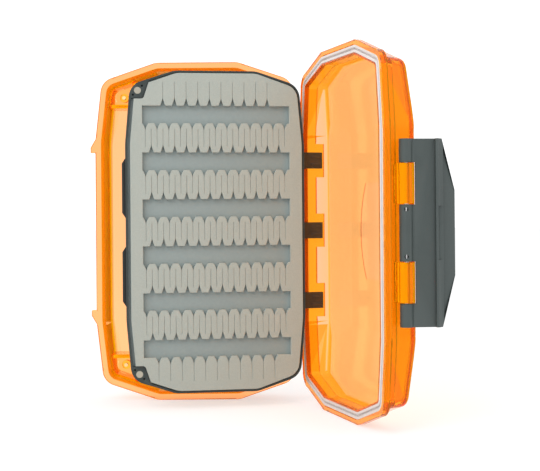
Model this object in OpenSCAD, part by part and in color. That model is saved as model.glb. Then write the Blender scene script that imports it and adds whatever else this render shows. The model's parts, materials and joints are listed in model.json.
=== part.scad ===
// Hinged fly box: two clear moulded shells, a swing leaf with slit foam on both faces,
// a seal in the lid's rim and a long over-centre latch.
// Units are millimetres. The box stands on its lower end with its lid turned open.
// X runs across the base, Y runs into the base, Z is up. The parting plane is Y = 0,
// the base's centre line is X = 0 and its lower end is Z = 0.
// Every piece is drawn in the closed box about the box's centre, then turned to its place.

/* [Box] */
// Width of both shells over the flanges
box_w = 99.6; // [90:0.2:120]
// Height of both shells over the flanges
box_h = 165; // [155:1:190]
// Length of the straight stretch at each end
end_flat = 40; // [30:1:50]
// Height lost between the end flat and the shoulder
shoulder_drop = 9; // [6:0.5:14]
// Width lost between the widest line and the shoulder
shoulder_in = 3.3; // [2:0.1:6]
// Half the length of the straight stretch of each side
side_straight = 44.3; // [43:0.1:50]
// Radius at the ends of the end flat
end_r = 12; // [9:0.5:16]
// Radius of the shoulder
shoulder_r = 8; // [7:0.5:12]
// Radius where the side starts to lean in
lean_r = 35; // [20:1:50]
// Fall of the outer side strips of each broad face
face_fall = 0.8; // [0.2:0.1:1.6]
// Flange edge to the outer border of those strips
strip_in = 8.8; // [7:0.1:12]
// Fall of each broad face from the straight sides to the shoulders
end_fall = 2.9; // [0.5:0.1:3.5]

/* [Base] */
// Depth of the base, parting plane to back
base_d = 20; // [18:0.5:30]
// Thickness of the base's flange
base_flange_t = 3; // [2.4:0.1:4]
// Flange edge to the outside of the base's wall
base_flange_w = 2.4; // [2:0.1:3]
// Thickness of the base's wall
base_wall = 2.05; // [1.8:0.05:2.6]
// Thickness of the base's back
base_floor = 2; // [1.5:0.1:3]
// Lean of the base's walls over their depth
draft = 0.7; // [0.3:0.1:1.2]
// Rounding between the walls and the broad face, outside
base_round = 3.8; // [2.5:0.1:5]
// The same rounding, inside
base_round_in = 3; // [2:0.1:4]
// Thickness of the pads, which are cored from the back
pad_skin = 2; // [1.6:0.1:2.6]
// Magnet line to the inner side of a pad, along the height
pad_more_z = 5.2; // [3.5:0.1:7]
// Magnet line to the inner side of a pad, along the width
pad_more_x = 6; // [4.5:0.1:8]
// Radius of the arc marked in a pad
arc_r = 4.2; // [3.4:0.1:4.6]
// Width of that arc
arc_w = 0.6; // [0.4:0.1:1]
// Depth of that arc
arc_d = 0.4; // [0.2:0.1:0.8]

/* [Lid] */
// Depth of the lid, parting plane to face
lid_d = 16; // [15:0.5:26]
// Thickness of the lid's flange
lid_flange_t = 2.9; // [2.4:0.1:3.6]
// Flange edge to the outside of the lid's wall
lid_flange_w = 2.6; // [2.2:0.1:3]
// Thickness of the lid's wall behind the rim
lid_wall = 1.8; // [1.5:0.05:2.4]
// Thickness of the lid's face
lid_face = 1.8; // [1.4:0.1:2.6]
// Depth of the thick rim that holds the seal
rim_d = 6.6; // [5:0.1:8]
// Rounding between the lid's walls and its face, outside
lid_round = 3; // [2:0.1:4]
// The same rounding, inside
lid_round_in = 2.4; // [1.6:0.1:3.2]
// Half the width of the bare sunk panel in the lid's face
lens_w = 14.4; // [8:0.1:18]
// Half the height of that panel
lens_h = 21.5; // [12:0.5:30]
// Bulge of the panel's long edges
lens_bulge = 5.7; // [2:0.1:7]
// Box's centre line to the panel's
lens_x = -5.2; // [-5.2:0.1:5]
// Depth of that panel
lens_d = 0.3; // [0.2:0.05:0.6]

/* [Seal] */
// Flange edge to the seal's outer side
seal_in = 2.3; // [2.1:0.05:2.6]
// Width of the seal
seal_w = 3.2; // [2.8:0.1:3.6]
// Gap on each side of the seal in its channel
seal_fit = 0.1; // [0.05:0.05:0.15]
// Depth of the seal in the lid's rim
seal_d = 2.2; // [1.6:0.1:3]
// Width of each lip of the seal
lip_w = 1.15; // [0.8:0.05:1.2]
// Depth of the groove between the lips
lip_d = 1.2; // [0.8:0.1:1.4]
// Lips to the parting plane
lip_gap = 0.1; // [0.05:0.05:0.3]
// Thickness of the rim inside the seal
rim_lip = 0.7; // [0.5:0.1:1]
// Height of the bead on the base that meets the seal
bead_h = 0.6; // [0.3:0.1:0.8]
// Width of the bead
bead_w = 0.6; // [0.4:0.05:0.7]

/* [Main hinge] */
// Hinge line outside the flange edge
hinge_out = 1.05; // [0.8:0.05:1.6]
// Hinge line on the lid's side of the parting plane
hinge_up = 1.5; // [1.3:0.05:1.7]
// Distance between hinges
hinge_pitch = 33.6; // [30:0.2:36]
// Radius of the hinge knuckles
knuckle_r = 2; // [1.8:0.05:2.3]
// Radius of the hinge pins
pin_r = 0.8; // [0.6:0.05:1]
// Length of the lid's knuckle
lid_knuckle_l = 7.7; // [6:0.1:9]
// Length of each base ear
ear_l = 4; // [3:0.1:5]
// Reach of the knuckles' webs into the flange
web_in = 2; // [1.6:0.1:2.3]
// Gap between neighbouring knuckles
knuckle_gap = 0.15; // [0.1:0.05:0.3]
// Gap between a lid knuckle's web and the parting plane
web_gap = 0.1; // [0.05:0.05:0.3]
// Free radius cut round the knuckles
knuckle_clear = 0.3; // [0.2:0.05:0.4]
// Radial clearance of a turning pin
pin_clear = 0.05; // [0.03:0.01:0.08]

/* [Leaf] */
// Flange edge to the side of the leaf
leaf_side_in = 7.95; // [7.8:0.05:9]
// Box's end to the end of the leaf
leaf_end_in = 7.5; // [7:0.1:10]
// Length of the straight stretch at each end of the leaf
leaf_flat = 38.2; // [30:0.2:46]
// Half the length of the straight stretch of each of its sides
leaf_straight = 41.2; // [38:0.1:46]
// Thickness of the leaf's frame
leaf_t = 5; // [4.4:0.1:6]
// Leaf's front face inside the lid when the box is shut
leaf_in_lid = 2.8; // [2.4:0.1:3.4]
// Width of the frame round the foam
frame_w = 1; // [0.8:0.1:1.6]
// Width of the bar behind the hinge side of the foam
hinge_bar_w = 5.2; // [5:0.1:6]
// Thickness of the backing panel
panel_t = 1.2; // [0.8:0.1:1.6]
// Side of the corner tabs that hold the magnets
tab_w = 8.3; // [7.5:0.1:10]
// Lean of a tab's inner side over its height
tab_lean = 4.4; // [0:0.1:6]
// Height of the corner tabs
tab_h = 13; // [11:0.5:16]
// Radius of the corner tabs
tab_r = 1.5; // [1:0.1:2.5]
// Radius of the two small holes in a tab
tab_hole_r = 0.45; // [0.3:0.05:0.6]
// Magnet line to each of those holes, along both ways
tab_hole_out = 2.1; // [2:0.05:2.3]
// Depth of those holes
tab_hole_d = 2; // [1:0.1:4]
// Length of the finger ledge
ledge_l = 29.3; // [20:0.1:34]
// Centre of the leaf to the near end of the ledge
ledge_z = 5.9; // [4:0.1:8]
// Reach of the finger ledge past the frame
ledge_out = 1.6; // [1:0.1:2]
// Back of the finger ledge to the back of the frame
ledge_up = 0.4; // [0:0.1:1]

/* [Foam] */
// Gap between the foam's edge and the frame
foam_gap = 0.15; // [0.05:0.05:0.4]
// Further gap along the free side of the foam
free_gap = 0.7; // [0:0.1:1]
// Foam standing proud of the frame
foam_proud = 0.6; // [0.2:0.1:1]
// Number of open rows
rows = 6; // [2:1:6]
// Leaf's end to the middle of the first row
row_first = 20.25; // [18:0.05:24]
// Height of an open row
row_h = 8.1; // [6:0.1:9]
// Side of the leaf to the end of an open row
row_side = 7; // [6.5:0.1:10]
// Number of notches along a row's lower edge; its upper edge has one fewer
notches = 13; // [10:1:13]
// Row's end to the middle of the first notch
notch_first = 2.33; // [1.6:0.01:3]
// Depth of a notch in a row's lower edge
notch_d = 2.9; // [1.5:0.1:3.6]
// Depth of a notch in a row's upper edge
notch_up_d = 2.2; // [1.5:0.1:3.6]
// Width of a notch at the row
notch_w = 2.3; // [1.6:0.1:2.6]
// How sharply the teeth round off into a notch
notch_curve = 1.7; // [1:0.1:2.5]
// Width of the slit below a notch
slit_w = 0.12; // [0.08:0.02:0.2]
// Row to the end of a slit
slit_d = 11; // [6:0.5:12]

/* [Leaf hinge] */
// Leaf's hinge line inside the frame's edge
leaf_hinge_in = 1.5; // [1.4:0.05:2]
// Radius of the leaf's knuckles
leaf_knuckle_r = 1.35; // [1.2:0.05:1.5]
// Gap between a bracket's knuckle and the leaf, on every side
leaf_knuckle_gap = 0.1; // [0.05:0.05:0.2]
// Radius of the leaf's pins
leaf_pin_r = 0.6; // [0.5:0.05:0.7]
// Length of a bracket along the hinge
bracket_l = 7.7; // [7:0.1:9]
// Thickness of a bracket's plate
bracket_t = 1.5; // [1.2:0.05:1.55]
// Depth of a bracket in the lid
bracket_d = 9; // [7:0.5:10]
// Length of a bracket's knuckle
bracket_knuckle_l = 3.1; // [2.5:0.1:3.5]
// Width of the two ribs on a bracket
rib_w = 1; // [0.6:0.1:1.4]
// Height of those ribs
rib_h = 0.25; // [0.15:0.05:0.3]
// Middle of a bracket to each rib's middle
rib_z = 1.7; // [1.2:0.1:2.4]
// Length of the seat for a bracket on the lid's wall
seat_l = 16.1; // [12:0.1:18]
// Depth of that seat
seat_d = 10.5; // [10:0.1:12]

/* [Magnets] */
// Radius of the leaf's magnets
magnet_r = 1.6; // [1.2:0.1:1.8]
// Radius of the base's magnets
base_magnet_r = 0.9; // [0.6:0.1:1.2]
// Wall round a base magnet inside its pad
boss_wall = 1.2; // [0.8:0.1:1.6]
// Length of a leaf magnet
leaf_magnet_l = 4.8; // [4:0.1:4.8]
// Length of a base magnet
base_magnet_l = 3; // [2:0.1:4]
// Side of the leaf to the magnet line
magnet_side_in = 5.85; // [5.5:0.05:6.2]
// Leaf's end to the magnet line
magnet_end_in = 9.3; // [8.8:0.1:10]
// Gap between the leaf's foam and the magnet pads
magnet_gap = 0.4; // [0.3:0.05:0.6]

/* [Latch] */
// Half the length of the latch
latch_half = 37.9; // [36:0.1:38.1]
// Pivot outside the flange edge
latch_out = 1.7; // [1.5:0.1:2]
// Pivot's depth on the lid's side
latch_up = 8.4; // [8:0.1:9]
// Radius of the latch's knuckles
latch_knuckle_r = 2.8; // [2.5:0.1:2.9]
// Radius of the lid's barrels
barrel_r = 3.4; // [3:0.1:3.5]
// Near end of a barrel from the centre
barrel_z = 11.8; // [10:0.1:13]
// Length of a barrel
barrel_l = 16.3; // [12:0.1:17]
// Gap round a barrel, inside the latch
barrel_gap = 0.35; // [0.3:0.05:0.5]
// Gap at each end of a barrel
barrel_end_gap = 0.3; // [0.2:0.05:0.4]
// Radius of the latch pins
latch_pin_r = 0.9; // [0.7:0.05:1]
// Inner end of a latch pin from the centre
latch_pin_z = 8.6; // [7:0.1:9]
// Outer end of a latch pin inside the latch's end
latch_pin_in = 0.8; // [0.5:0.1:1.5]
// Thickness of the latch's plate
latch_t = 2; // [1.6:0.1:2.4]
// Gap between the latch's plate and the flanges
latch_gap = 0.3; // [0.2:0.05:0.5]
// Reach of the hook under the base's flange
hook_reach = 1.8; // [1.2:0.1:2]
// Width of the hook along the plate
hook_w = 2.9; // [2:0.1:3.5]
// Gap between the hook and the flange
hook_gap = 0.1; // [0.05:0.05:0.3]
// Pivot to the edge of the finger wing
wing_end = 20.3; // [18:0.1:23]
// Outward flare of the finger wing
wing_flare = 3; // [1:0.1:4]
// Thickness of the wing at its edge
wing_t = 1.2; // [0.8:0.1:1.6]
// Half the length of the wing's straight edge
wing_half = 17.2; // [10:0.1:24]
// Gap between the hook and the dished side of the wing
dish_gap = 0.6; // [0.3:0.1:1]
// Depth of the wing's dished inner side, behind the hook
dish_d = 1.4; // [0.8:0.1:1.5]
// Width of the rim round the dished side
rim_w = 1.2; // [0.8:0.1:2]
// Radius of the windows that show the pins
window_r = 0.85; // [0.5:0.05:1]
// Pin's inner end to the middle of its window
window_z = 0.9; // [0.9:0.1:1.5]
// Gap between the latch and the ears that guard it
guard_gap = 0.7; // [0.4:0.1:1.2]
// Length of a guard ear
guard_l = 6.4; // [4:0.1:8]
// Reach of a guard ear past the flange
guard_out = 2.3; // [1.5:0.1:3]

/* [Pose] */
// Lid turned open from shut
lid_open = 108.7; // [0:0.1:180]
// Leaf turned from the base's plane
leaf_open = 7.8; // [0:0.1:13]
// Latch turned open from shut
latch_open = 166; // [0:1:176]

/* [Hidden] */

$fn = 48;
eps = 0.01;
// Longer than any cut through the box
past = 1;
// Skimmed off the broad faces, so that they cut the rounding cleanly
skim = 0.02;
// Smallest radius left on an inset outline
least_r = 1;

half_w = box_w / 2;
half_h = box_h / 2;
hinge_x = half_w + hinge_out;
hinge_y = -hinge_up;
hinge_zs = [hinge_pitch, 0, -hinge_pitch];

// Insets of the rim, from the flange edge inwards
base_open_in = base_flange_w + base_wall;
channel_out = seal_in - seal_fit;
channel_in = seal_in + seal_w + seal_fit;
seal_mid = seal_in + seal_w / 2;
rim_in = channel_in + rim_lip;
groove_out = seal_in + lip_w;
groove_in = seal_in + seal_w - lip_w;

leaf_w = box_w - 2 * leaf_side_in;
leaf_h = box_h - 2 * leaf_end_in;
leaf_front = -leaf_in_lid;
leaf_back = leaf_front + leaf_t;
leaf_x = leaf_w / 2 - leaf_hinge_in;
leaf_y = leaf_back + leaf_knuckle_r + leaf_knuckle_gap;
panel_front = leaf_front + (leaf_t - panel_t) / 2;
panel_back = panel_front + panel_t;
bracket_out = half_w - rim_in;
bracket_in = bracket_out - bracket_t;

row_l = leaf_w - 2 * row_side;
row_pitch = (leaf_h - 2 * row_first) / (rows - 1);
notch_pitch = (row_l - 2 * notch_first) / (notches - 1);

magnet_x = leaf_w / 2 - magnet_side_in;
magnet_z = leaf_h / 2 - magnet_end_in;
pad_top = leaf_back + foam_proud + magnet_gap;
boss_r = base_magnet_r + boss_wall;

latch_x = -half_w - latch_out;
latch_y = -latch_up;
// In the latch's own frame, about its pivot, +X to the box and +Y to the base
plate_in = latch_out - latch_gap;
plate_out = plate_in - latch_t;
hook_y = latch_up + base_flange_t + hook_gap;
hook_end = hook_y + hook_w;
// Where the wing starts behind the hook
dish_y = hook_end + dish_gap;
barrel_clear = barrel_r + barrel_gap;
barrel_end = barrel_z + barrel_l;

echo(str("leaf pivot at rest ", rest_point(leaf_x, leaf_y)));
echo(str("latch pivot at rest ", rest_point(latch_x, latch_y)));

// Where a point of the closed lid lies when the lid is turned open
function rest_point(x, y) =
    let (dx = x - hinge_x, dy = y - hinge_y, c = cos(lid_open), s = sin(lid_open))
    [hinge_x + c * dx - s * dy, hinge_y + s * dx + c * dy];

// Outlines

function unit(v) = v / norm(v);
function left_of(v) = [-v.y, v.x];

// Round corner b between a and c, moved inwards by o; the arc keeps its centre
function corner(a, b, c, o, r, steps) =
    let (n1 = left_of(unit(b - a)),
         n2 = left_of(unit(c - b)),
         rr = max(r - o, least_r),
         mid = b + (n1 + n2) / (1 + n1 * n2) * (o + rr),
         a1 = atan2(n1.y, n1.x),
         turn = acos(min(1, n1 * n2)))
    [for (i = [0:steps]) mid - rr * [cos(a1 + turn * i / steps), sin(a1 + turn * i / steps)]];

// Twelve-cornered outline, the same in each quarter
function outline(w, h, flat, shoulder, lean, o) =
    let (q = [[w, lean], shoulder, [flat, h]],
         v = concat(q, [for (i = [2:-1:0]) [-q[i].x, q[i].y]],
                    [for (p = q) [-p.x, -p.y]], [for (i = [2:-1:0]) [q[i].x, -q[i].y]]),
         kind = [0, 1, 2, 2, 1, 0, 0, 1, 2, 2, 1, 0],
         rs = [lean_r, shoulder_r, end_r],
         steps = [2, 7, 3],
         n = len(v))
    [for (i = [0:n - 1])
        each corner(v[(i + n - 1) % n], v[i], v[(i + 1) % n], o, rs[kind[i]], steps[kind[i]])];

function box_outline(o) =
    outline(half_w, half_h, end_flat / 2,
            [half_w - shoulder_in, half_h - shoulder_drop], side_straight, o);

function leaf_outline(o) =
    outline(leaf_w / 2, leaf_h / 2, leaf_flat / 2,
            [leaf_w / 2 - shoulder_in * 0.7, leaf_h / 2 - shoulder_drop * 0.75],
            leaf_straight, o);

// Placing

module turn_about(x, y, angle)
    translate([x, y, 0]) rotate([0, 0, angle]) translate([-x, -y, 0]) children();

module on_base() translate([0, 0, half_h]) children();
module on_lid() on_base() turn_about(hinge_x, hinge_y, lid_open) children();
module on_leaf() on_lid() turn_about(leaf_x, leaf_y, leaf_open - lid_open) children();
module on_latch()
    on_lid() translate([latch_x, latch_y, 0]) rotate([0, 0, latch_open]) children();

// Draws on the X-Z plane, from depth y0 to y1
module slab(y0, y1) translate([0, y1, 0]) rotate([90, 0, 0]) linear_extrude(y1 - y0) children();

// Draws on the Y-Z plane, from x0 to x1
module across(x0, x1) translate([x0, 0, 0]) rotate([90, 0, 90]) linear_extrude(x1 - x0) children();

// Draws on the X-Y plane, from z0 to z1
module bar(z0, z1) translate([0, 0, z0]) linear_extrude(z1 - z0) children();

module rod_y(x, z, y0, y1, r) translate([x, y1, z]) rotate([90, 0, 0]) cylinder(r = r, h = y1 - y0);
module rod_z(x, y, z0, z1, r) translate([x, y, z0]) cylinder(r = r, h = z1 - z0);

// Copies above and below the centre
module both_ways() {
    children();
    mirror([0, 0, 1]) children();
}

// Fall of a broad face at height z, beyond the straight sides
function fall_at(z) =
    end_fall * max(0, abs(z) - side_straight) / (half_h - shoulder_drop - side_straight);

// Skin through box outlines; a ring is [inset, depth, share of the face's fall that it takes]
module loft(rings) {
    n = len(box_outline(0));
    m = len(rings);
    points = [for (r = rings) for (p = box_outline(r[0])) [p.x, r[1] - r[2] * fall_at(p.y), p.y]];
    sides = [for (j = [0:m - 2]) for (k = [0:n - 1])
        let (a = j * n + k, b = j * n + (k + 1) % n)
        each [[a, b, b + n], [a, b + n, a + n]]];
    polyhedron(points = points,
               faces = concat([[for (k = [n - 1:-1:0]) k]], [[for (k = [0:n - 1]) (m - 1) * n + k]], sides));
}

// Rings of a drafted wall that rounds into a broad face at depth d
function wall_rings(inset, y0, d, round_r) =
    concat([[inset, y0, 0]],
           [for (a = [0, 22.5, 45, 67.5, 90])
               [inset + draft + round_r * (1 - cos(a)), d - round_r * (1 - sin(a)), 1]],
           [[inset + draft + round_r, d + past, 0]]);

// Everything below a broad face with a flat middle, falling side strips and falling ends
module under_face(d) {
    flat = end_flat / 2;
    edge = half_w + past;
    low = d - skim - face_fall * (edge - flat) / (half_w - strip_in - flat);
    end = half_h + past;
    low_end = d - skim - fall_at(end);
    intersection() {
        bar(-end, end) polygon([[-edge, -2 * past], [edge, -2 * past], [edge, low],
                                [flat, d - skim], [-flat, d - skim], [-edge, low]]);
        across(-edge, edge) polygon([[-2 * past, -end], [low_end, -end], [d - skim, -side_straight],
                                     [d - skim, side_straight], [low_end, end], [-2 * past, end]]);
    }
}

// Base

module base_ear() {
    far = lid_knuckle_l / 2 + knuckle_gap + ear_l;
    bar(lid_knuckle_l / 2 + knuckle_gap, far) {
        translate([hinge_x, hinge_y]) circle(knuckle_r);
        polygon([[half_w - web_in, 0], [half_w - web_in, base_flange_t], [half_w, base_flange_t],
                 [hinge_x + knuckle_r * 0.6, 0]]);
    }
}

module base_outside() intersection() {
    loft(wall_rings(base_flange_w, base_flange_t - past, base_d, base_round));
    under_face(base_d);
}

module base_body() {
    slab(0, base_flange_t) polygon(box_outline(0));
    base_outside();
    for (z = hinge_zs) translate([0, 0, z]) both_ways() base_ear();
    // Ears that guard the ends of the latch
    both_ways() slab(0, base_flange_t) {
        z0 = latch_half + guard_gap;
        polygon([[-half_w + 1, z0], [-half_w + 1, z0 + guard_l], [-half_w, z0 + guard_l],
                 [-half_w - guard_out, z0 + guard_l * 0.4], [-half_w - guard_out, z0]]);
    }
}

// The base's hollow
module base_hollow() {
    inner_d = base_d - base_floor;
    intersection() {
        loft(concat([[base_open_in, -2 * past, 0]],
                    wall_rings(base_open_in, 0, inner_d, base_round_in)));
        under_face(inner_d);
    }
}

// Bead in the middle of the seal's groove
module base_bead() slab(-bead_h, past) difference() {
    polygon(box_outline(seal_mid - bead_w / 2));
    polygon(box_outline(seal_mid + bead_w / 2));
}

// Plan of a pad, its free sides moved inwards by o
module pad_plan(inset, o) intersection() {
    polygon(box_outline(inset));
    translate([-half_w, magnet_z - pad_more_z + o])
        square([half_w - magnet_x + pad_more_x - o, half_h]);
}

module base_pad() intersection() {
    slab(pad_top, base_d) pad_plan(base_open_in - base_wall / 2, 0);
    base_outside();
}

// Core of a pad, open at the back, with a boss round the magnet
module pad_core() difference() {
    slab(pad_top + pad_skin, base_d + past) pad_plan(base_open_in + draft, pad_skin);
    rod_y(-magnet_x, magnet_z, pad_top, pad_top + base_magnet_l + pad_skin, boss_r);
}

// Arc marked in a pad round the magnet, on the corner's side
module pad_arc() slab(pad_top - past, pad_top + arc_d) intersection() {
    translate([-magnet_x, magnet_z]) difference() {
        circle(arc_r + arc_w / 2);
        circle(arc_r - arc_w / 2);
    }
    translate([-magnet_x - 2 * arc_r, magnet_z - arc_r / 2]) square(2 * arc_r);
}

module base_shell() color("orange", 0.6) on_base() difference() {
    union() {
        difference() {
            base_body();
            base_hollow();
        }
        base_bead();
        both_ways() base_pad();
    }
    both_ways() {
        pad_core();
        pad_arc();
        rod_y(-magnet_x, magnet_z, pad_top - past, pad_top + base_magnet_l, base_magnet_r);
    }
    for (z = hinge_zs) {
        reach = lid_knuckle_l / 2 + knuckle_gap;
        rod_z(hinge_x, hinge_y, z - reach, z + reach, knuckle_r + knuckle_clear);
        rod_z(hinge_x, hinge_y, z - reach - ear_l - past, z + reach + ear_l + past, pin_r);
    }
}

module base_magnet(z) color("silver") on_base()
    rod_y(-magnet_x, z, pad_top, pad_top + base_magnet_l, base_magnet_r);

module hinge_pin(z) color("silver") on_base() {
    reach = lid_knuckle_l / 2 + knuckle_gap + ear_l;
    rod_z(hinge_x, hinge_y, z - reach, z + reach, pin_r);
}

// Lid, drawn on the base's side of the parting plane and mirrored over

module lid_body() {
    slab(0, lid_flange_t) polygon(box_outline(0));
    intersection() {
        loft(wall_rings(lid_flange_w, lid_flange_t - past, lid_d, lid_round));
        under_face(lid_d);
    }
}

module lid_hollow() {
    inner_d = lid_d - lid_face;
    slab(-past, rim_d) polygon(box_outline(rim_in));
    intersection() {
        loft(concat([[lid_flange_w + lid_wall, rim_d - eps, 0]],
                    wall_rings(lid_flange_w + lid_wall, rim_d, inner_d, lid_round_in)));
        under_face(inner_d);
    }
}

// Thick places on the wall that carry the leaf's brackets
module bracket_seat(z)
    translate([bracket_out, rim_d - eps, z - seat_l / 2])
        cube([half_w - lid_flange_w - lid_wall / 2 - bracket_out, seat_d - rim_d, seat_l]);

module lid_knuckle(z) bar(z - lid_knuckle_l / 2, z + lid_knuckle_l / 2) {
    translate([hinge_x, hinge_up]) circle(knuckle_r);
    translate([half_w - web_in, web_gap])
        square([hinge_x - half_w + web_in, lid_flange_t - web_gap]);
}

// Long edge of the sunk panel, an arc through its middle and both corners
function lens_edge(way) =
    let (r = (lens_h * lens_h + lens_bulge * lens_bulge) / (2 * lens_bulge),
         span = asin(lens_h / r))
    [for (i = [0:8])
        let (a = span * (i / 4 - 1))
        way * [lens_w - r + r * cos(a), r * sin(a)]];

module lens() slab(lid_d - lens_d, lid_d + past) translate([lens_x, 0])
    polygon(concat(lens_edge(1), lens_edge(-1)));

module latch_barrel() {
    bar(barrel_z, barrel_end) {
        translate([latch_x, latch_up]) circle(barrel_r);
        translate([latch_x, latch_up - barrel_r]) square([latch_out + lid_flange_w + 1, 2 * barrel_r]);
    }
}

module lid_shell() color("orange", 0.6) on_lid() mirror([0, 1, 0]) difference() {
    union() {
        difference() {
            lid_body();
            lid_hollow();
            // Room for the base's ears
            for (z = hinge_zs) translate([0, 0, z]) both_ways()
                rod_z(hinge_x, hinge_up, lid_knuckle_l / 2,
                      lid_knuckle_l / 2 + ear_l + 2 * knuckle_gap, knuckle_r + knuckle_clear);
        }
        for (z = hinge_zs) bracket_seat(z);
        for (z = hinge_zs) lid_knuckle(z);
        both_ways() latch_barrel();
    }
    lens();
    // Channel of the seal
    slab(-past, seal_d) difference() {
        polygon(box_outline(channel_out));
        polygon(box_outline(channel_in));
    }
    for (z = hinge_zs)
        rod_z(hinge_x, hinge_up, z - lid_knuckle_l, z + lid_knuckle_l, pin_r + pin_clear);
    both_ways() rod_z(latch_x, latch_up, barrel_z - past, barrel_end + past, latch_pin_r + pin_clear);
}

module lid_gasket() color("mistyrose") on_lid() mirror([0, 1, 0]) difference() {
    slab(lip_gap, seal_d) difference() {
        polygon(box_outline(seal_in));
        polygon(box_outline(seal_in + seal_w));
    }
    slab(-past, lip_gap + lip_d) difference() {
        polygon(box_outline(groove_out));
        polygon(box_outline(groove_in));
    }
}

// Brackets on the lid's wall that carry the leaf

module leaf_bracket(z) color("dimgray") on_lid() difference() {
    union() {
        translate([bracket_in, -bracket_d, z - bracket_l / 2])
            cube([bracket_t, bracket_d + leaf_y + leaf_knuckle_r, bracket_l]);
        for (way = [-1, 1])
            translate([bracket_in - rib_h, -bracket_d + rib_w, z + way * rib_z - rib_w / 2])
                cube([rib_h + eps, bracket_d / 2, rib_w]);
        bar(z - bracket_knuckle_l / 2, z + bracket_knuckle_l / 2) {
            translate([leaf_x, leaf_y]) circle(leaf_knuckle_r);
            translate([leaf_x, leaf_y - leaf_knuckle_r])
                square([bracket_in - leaf_x + eps, 2 * leaf_knuckle_r]);
        }
    }
    rod_z(leaf_x, leaf_y, z - bracket_l, z + bracket_l, leaf_pin_r + pin_clear);
}

// Leaf, drawn in the closed box

// Corner of the leaf that holds a magnet, grown by g
module tab_shape(g) intersection() {
    polygon(leaf_outline(0));
    translate([-leaf_w / 2, leaf_h / 2 - tab_h]) offset(r = tab_r) offset(delta = -tab_r)
        polygon([[-2 * tab_r, -g], [tab_w + g, -g], [tab_w + 2 * tab_lean + g, 2 * tab_h],
                 [-2 * tab_r, 2 * tab_h]]);
}

module leaf_lug() bar(bracket_knuckle_l / 2 + leaf_knuckle_gap, bracket_l / 2) {
    translate([leaf_x, leaf_y]) circle(leaf_knuckle_r);
    translate([leaf_x - leaf_knuckle_r, leaf_back - eps])
        square([2 * leaf_knuckle_r, leaf_y - leaf_back]);
}

module leaf_ledge() slab(leaf_front + leaf_t / 2, leaf_back - ledge_up) {
    x = -leaf_w / 2 + frame_w / 2;
    out = -leaf_w / 2 - ledge_out;
    polygon([[x, ledge_z], [out, ledge_z + 2 * ledge_out],
             [out, ledge_z + ledge_l - 2 * ledge_out], [x, ledge_z + ledge_l]]);
}

module leaf_frame() color("dimgray") on_leaf() difference() {
    union() {
        slab(leaf_front, leaf_back) difference() {
            polygon(leaf_outline(0));
            polygon(leaf_outline(frame_w));
        }
        both_ways() slab(leaf_front, leaf_back) tab_shape(0);
        // Bar behind the hinge side
        slab(panel_back, leaf_back) intersection() {
            polygon(leaf_outline(0));
            translate([leaf_w / 2 - hinge_bar_w, -leaf_h / 2]) square([hinge_bar_w, leaf_h]);
        }
        for (z = hinge_zs) translate([0, 0, z]) both_ways() leaf_lug();
        both_ways() leaf_ledge();
    }
    both_ways() {
        rod_y(-magnet_x, magnet_z, leaf_front - past, leaf_back + past, magnet_r);
        for (way = [-1, 1])
            rod_y(-magnet_x + way * tab_hole_out, magnet_z + way * tab_hole_out,
                  leaf_front - past, leaf_front + tab_hole_d, tab_hole_r);
    }
    for (z = hinge_zs) rod_z(leaf_x, leaf_y, z - bracket_l, z + bracket_l, leaf_pin_r);
}

module leaf_panel() color("slategray") on_leaf() slab(panel_front, panel_back) difference() {
    polygon(leaf_outline(frame_w));
    tab_shape(0);
    mirror([0, 1]) tab_shape(0);
}

// Open rows with toothed edges; the notches of facing edges are half a pitch apart
module open_rows() {
    for (i = [0:rows - 1]) translate([0, (i - (rows - 1) / 2) * row_pitch]) {
        square([row_l, row_h], center = true);
        // The outermost edges have no notch at the row's ends
        notch_line(notches - (i == 0 ? 2 : 0), -1, notch_d);
        notch_line(notches - (i == rows - 1 ? 3 : 1), 1, notch_up_d);
    }
}

module notch_line(count, way, depth)
    for (k = [0:count - 1])
        translate([(k - (count - 1) / 2) * notch_pitch, way * row_h / 2]) mirror([0, way < 0 ? 1 : 0])
            notch(depth);

// Half the width of a notch at share t of its depth
function notch_half(t) = (notch_w - slit_w) / 2 * pow(1 - t, notch_curve) + slit_w / 2;

// Notch between two rounded teeth, with the slit that runs on below it
module notch(depth) {
    steps = [0, 0.15, 0.35, 0.65, 1];
    polygon(concat([[notch_half(0), -past]],
                   [for (t = steps) [notch_half(t), t * depth]],
                   [[slit_w / 2, slit_d], [-slit_w / 2, slit_d]],
                   [for (i = [len(steps) - 1:-1:0]) [-notch_half(steps[i]), steps[i] * depth]],
                   [[-notch_half(0), -past]]));
}

module foam_sheet() difference() {
    intersection() {
        polygon(leaf_outline(frame_w + foam_gap));
        translate([free_gap, 0]) polygon(leaf_outline(frame_w + foam_gap));
    }
    tab_shape(foam_gap);
    mirror([0, 1]) tab_shape(foam_gap);
    open_rows();
}

module leaf_foam_front() color("gainsboro") on_leaf()
    slab(leaf_front - foam_proud, panel_front) foam_sheet();

module leaf_foam_back() color("gainsboro") on_leaf()
    slab(panel_back, leaf_back + foam_proud) difference() {
        foam_sheet();
        translate([leaf_w / 2 - hinge_bar_w - foam_gap, -leaf_h / 2])
            square([hinge_bar_w + foam_gap, leaf_h]);
    }

module leaf_magnet(z) color("silver") on_leaf() {
    inset = (leaf_t - leaf_magnet_l) / 2;
    rod_y(-magnet_x, z, leaf_front + inset, leaf_back - inset, magnet_r);
}

module leaf_pin(z) color("silver") on_leaf()
    rod_z(leaf_x, leaf_y, z - bracket_l / 2, z + bracket_l / 2, leaf_pin_r);

// Latch, drawn about its pivot

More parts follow.
